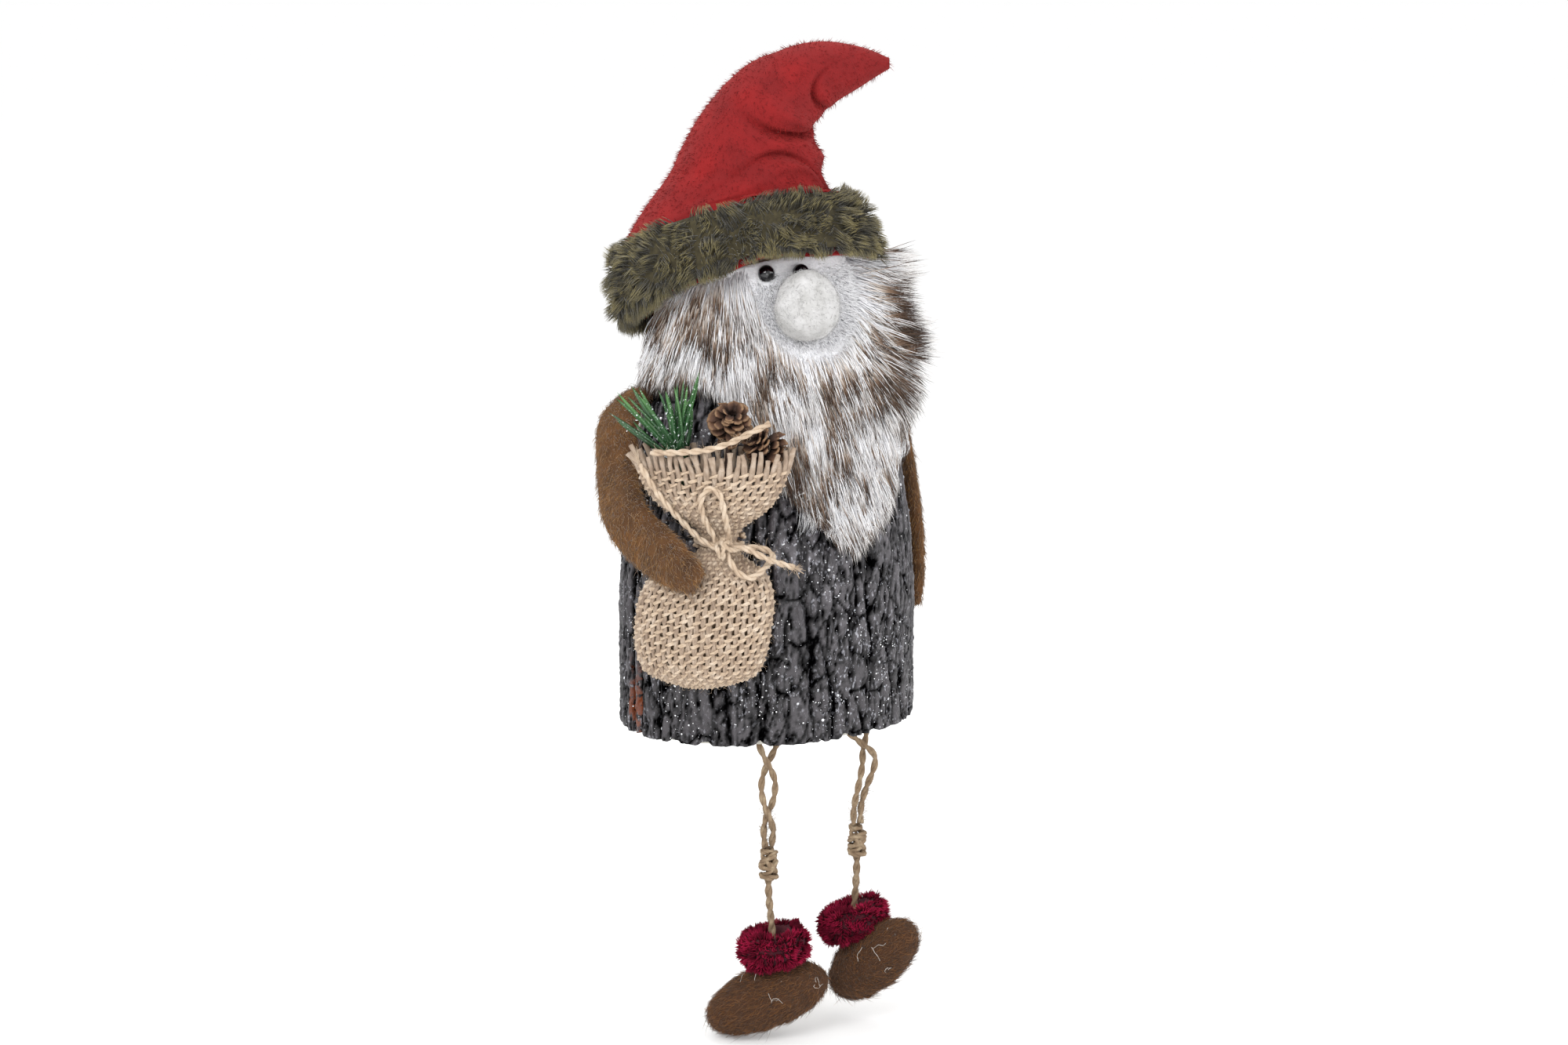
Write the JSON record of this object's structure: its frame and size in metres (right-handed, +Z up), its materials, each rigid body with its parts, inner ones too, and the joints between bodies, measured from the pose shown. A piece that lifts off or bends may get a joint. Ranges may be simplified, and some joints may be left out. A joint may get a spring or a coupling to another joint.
{
  "type": "santa figurine",
  "caption": "Shelf-sitting santa figurine with a bark log body, a leaning plush hat, a fur beard, a burlap sack held in a felt arm, and dangling twine legs in felt shoes.",
  "frame": {"origin": "middle of the log's flat underside, which rests on the shelf", "axes": "+Z up along the log, -Y to the figure's front, +X to the figure's own left"},
  "size_m": [0.1192, 0.0957, 0.3117],
  "materials": {
    "foam": "expanded foam",
    "painted_bark": "dark painted bark with silver flecks",
    "red_plush": "short plush",
    "olive_fur": "long-pile fake fur",
    "white_plush": "short plush",
    "beard_fur": "long-pile fake fur with dark tips",
    "felted_wool": "felted wool",
    "black_bead": "polished",
    "brown_felt": "fuzzy felt",
    "burlap": "open plain weave",
    "jute_twine": "two-ply twine",
    "wadding": "loose wadding",
    "green_needles": "satin, lightly frosted",
    "cone_wood": "dry",
    "burgundy_chenille": "tufted chenille"
  },
  "bodies": {
    "figure": {"log_core": "foam", "bark_wrap": "painted_bark", "hat_shell": "red_plush", "hat_stuffing": "wadding", "hat_brim": "olive_fur", "face_patch": "white_plush", "nose": "felted_wool", "right_eye": "black_bead", "left_eye": "black_bead", "beard_panel": "beard_fur", "sack_cloth": "burlap", "sack_filling": "wadding", "sack_tie": "jute_twine", "sack_bow": "jute_twine", "upper_pine_cone": "cone_wood", "lower_pine_cone": "cone_wood", "pine_sprig": "green_needles", "right_arm": "brown_felt", "right_hip_loop": "jute_twine", "left_hip_loop": "jute_twine"},
    "left_arm": {"left_arm": "brown_felt"},
    "right_thigh": {"right_leg_first_strand": "jute_twine", "right_leg_second_strand": "jute_twine"},
    "right_shin": {"right_knee_knot": "jute_twine", "right_shin_twine": "jute_twine"},
    "right_foot": {"right_shoe": "brown_felt", "right_shoe_cuff": "burgundy_chenille"},
    "left_thigh": {"left_leg_first_strand": "jute_twine", "left_leg_second_strand": "jute_twine"},
    "left_shin": {"left_knee_knot": "jute_twine", "left_shin_twine": "jute_twine"},
    "left_foot": {"left_shoe": "brown_felt", "left_shoe_cuff": "burgundy_chenille"}
  },
  "joints": [
    {"name": "left_arm_lift", "type": "hinge", "parent": "figure", "child": "left_arm", "pos_m": [0.0387, -0.0021, 0.11], "axis": [0, -1, 0], "range_deg": [0, 80]},
    {"name": "right_hip_swing", "type": "hinge", "parent": "figure", "child": "right_thigh", "pos_m": [-0.014, -0.027, -0.0014], "axis": [-1, 0, 0], "range_deg": [-20, 60]},
    {"name": "right_knee_bend", "type": "hinge", "parent": "right_thigh", "child": "right_shin", "pos_m": [-0.014, -0.027, -0.0414], "axis": [-1, 0, 0], "range_deg": [-60, 30]},
    {"name": "right_foot_twist", "type": "hinge", "parent": "right_shin", "child": "right_foot", "pos_m": [-0.012, -0.027, -0.0734], "axis": [0, 0, 1], "range_deg": [-15, 15]},
    {"name": "left_hip_swing", "type": "hinge", "parent": "figure", "child": "left_thigh", "pos_m": [0.018, -0.027, -0.0014], "axis": [-1, 0, 0], "range_deg": [-20, 60]},
    {"name": "left_knee_bend", "type": "hinge", "parent": "left_thigh", "child": "left_shin", "pos_m": [0.018, -0.027, -0.0384], "axis": [-1, 0, 0], "range_deg": [-60, 30]},
    {"name": "left_foot_twist", "type": "hinge", "parent": "left_shin", "child": "left_foot", "pos_m": [0.0168, -0.027, -0.0689], "axis": [0, 0, 1], "range_deg": [-15, 15]}
  ]
}
